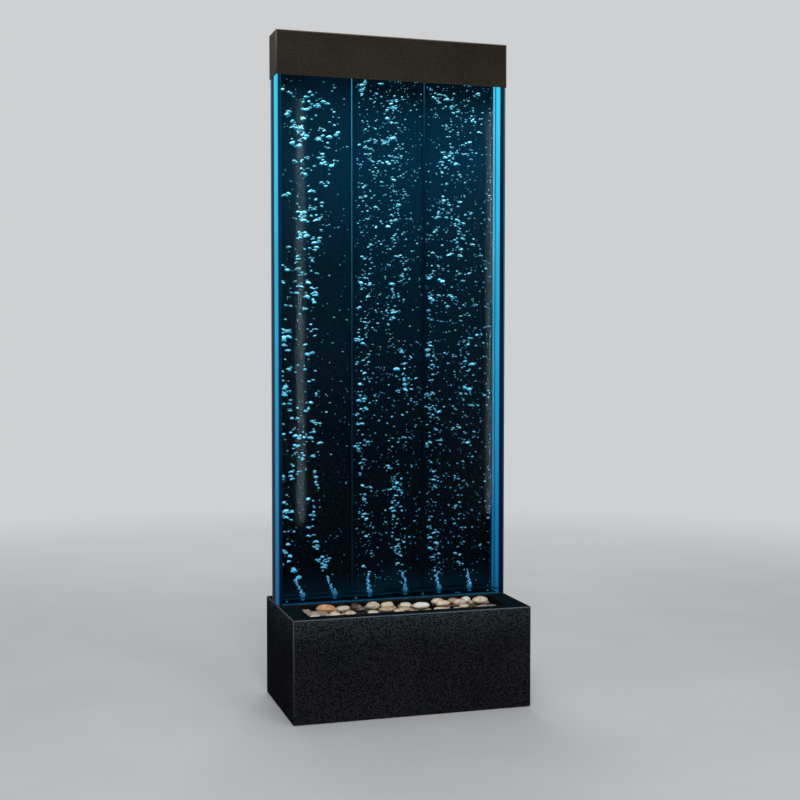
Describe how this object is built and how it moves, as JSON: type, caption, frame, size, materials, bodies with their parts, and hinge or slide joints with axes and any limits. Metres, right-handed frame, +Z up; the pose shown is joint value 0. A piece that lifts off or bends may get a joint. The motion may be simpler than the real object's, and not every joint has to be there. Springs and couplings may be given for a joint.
{
  "type": "bubble wall panel",
  "caption": "Free-standing bubble wall: a tall clear water tank with divided chambers on a black base with a pebble tray, lit from a lift-off cap.",
  "frame": {"origin": "on the floor, under the centre of the base's footprint", "axes": "+Z up, +X to the viewer's right, -Y to the front where the pebble tray is"},
  "size_m": [0.66, 0.356, 1.829],
  "materials": {
    "black_powder_coat": "fine textured",
    "bronze_powder_coat": "fine textured",
    "galvanised_steel": "satin",
    "screw_steel": "polished",
    "black_rubber": "matte",
    "tray_plastic": "matte",
    "river_stone": "smooth stone",
    "clear_acrylic": "polished",
    "lit_acrylic": "polished",
    "black_acrylic": "polished",
    "grey_plastic": "satin",
    "black_plastic": "satin",
    "hose_pvc": "satin",
    "air_stone": "rough",
    "aluminium": "satin",
    "circuit_board": "satin",
    "led_chip": "gloss",
    "led_lens": "frosted",
    "coil_copper": "satin",
    "red_plastic": "gloss"
  },
  "bodies": {
    "base": {"base_cabinet": "black_powder_coat", "base_floor": "galvanised_steel", "foot_pads": "black_rubber", "floor_screws": "screw_steel", "tank_frame": "galvanised_steel", "tank_gasket": "black_rubber", "tank_bolts": "screw_steel", "pebble_tray": "tray_plastic", "pebbles": "river_stone", "tank_front_panel": "clear_acrylic", "tank_back_panel": "black_acrylic", "tank_side_left": "lit_acrylic", "tank_side_right": "lit_acrylic", "tank_floor": "clear_acrylic", "tank_lid": "clear_acrylic", "divider_left": "clear_acrylic", "divider_right": "clear_acrylic", "air_outlets": "grey_plastic", "outlet_nuts": "grey_plastic", "air_stones": "air_stone", "check_valves": "grey_plastic", "riser_hoses": "hose_pvc", "air_manifold": "grey_plastic", "air_hose": "hose_pvc", "pump_housing": "black_plastic", "pump_cover": "grey_plastic", "pump_feet": "black_rubber", "pump_coil": "coil_copper", "pump_diaphragm": "black_rubber", "pump_valve_block": "grey_plastic", "led_controller": "black_plastic", "controller_cover": "grey_plastic", "led_cable": "black_rubber", "cap_socket": "black_plastic", "service_panel": "black_powder_coat", "service_screws": "screw_steel", "power_inlet": "black_plastic", "switch_bezel": "black_plastic", "drain_pipe": "hose_pvc", "drain_valve": "grey_plastic"},
    "cap": {"top_cap": "bronze_powder_coat", "cap_rests": "galvanised_steel", "led_bar": "aluminium", "led_bar_nuts": "screw_steel", "led_board": "circuit_board", "led_chips": "led_chip", "led_lens": "led_lens", "led_lead": "black_rubber", "cap_plug": "black_plastic"},
    "filler_plug": {"filler_plug": "black_rubber"},
    "switch_rocker": {"switch_rocker": "black_plastic"},
    "drain_lever": {"drain_lever": "red_plastic"},
    "pump_armature": {"pump_armature": "galvanised_steel"},
    "air_tap_1": {"air_tap_1": "black_plastic"},
    "air_tap_2": {"air_tap_2": "black_plastic"},
    "air_tap_3": {"air_tap_3": "black_plastic"},
    "air_tap_4": {"air_tap_4": "black_plastic"},
    "air_tap_5": {"air_tap_5": "black_plastic"},
    "air_tap_6": {"air_tap_6": "black_plastic"}
  },
  "joints": [
    {"name": "cap_lift", "type": "slide", "parent": "base", "child": "cap", "axis": [0, 0, 1], "range_m": [0, 0.16]},
    {"name": "filler_pull", "type": "slide", "parent": "base", "child": "filler_plug", "axis": [0, 0, 1], "range_m": [0, 0.012]},
    {"name": "switch_press", "type": "hinge", "parent": "base", "child": "switch_rocker", "pos_m": [0.165, 0.1435, 0.13], "axis": [1, 0, 0], "range_deg": [0, 20]},
    {"name": "drain_turn", "type": "hinge", "parent": "base", "child": "drain_lever", "pos_m": [0.205, 0.1505, 0.142], "axis": [0, 0, 1], "range_deg": [0, 90]},
    {"name": "armature_swing", "type": "hinge", "parent": "base", "child": "pump_armature", "pos_m": [-0.151, -0.05, 0.0295], "axis": [0, 0, 1], "range_deg": [-2, 2], "stiffness_Nm_per_rad": 0.5},
    {"name": "air_tap_1_turn", "type": "hinge", "parent": "base", "child": "air_tap_1", "pos_m": [-0.246, 0.092, 0.206], "axis": [0, 1, 0], "range_deg": [0, 90]},
    {"name": "air_tap_2_turn", "type": "hinge", "parent": "base", "child": "air_tap_2", "pos_m": [-0.15416, 0.092, 0.206], "axis": [0, 1, 0], "range_deg": [0, 90]},
    {"name": "air_tap_3_turn", "type": "hinge", "parent": "base", "child": "air_tap_3", "pos_m": [-0.05248, 0.092, 0.206], "axis": [0, 1, 0], "range_deg": [0, 90]},
    {"name": "air_tap_4_turn", "type": "hinge", "parent": "base", "child": "air_tap_4", "pos_m": [0.05248, 0.092, 0.206], "axis": [0, 1, 0], "range_deg": [0, 90]},
    {"name": "air_tap_5_turn", "type": "hinge", "parent": "base", "child": "air_tap_5", "pos_m": [0.15416, 0.092, 0.206], "axis": [0, 1, 0], "range_deg": [0, 90]},
    {"name": "air_tap_6_turn", "type": "hinge", "parent": "base", "child": "air_tap_6", "pos_m": [0.246, 0.092, 0.206], "axis": [0, 1, 0], "range_deg": [0, 90]}
  ]
}
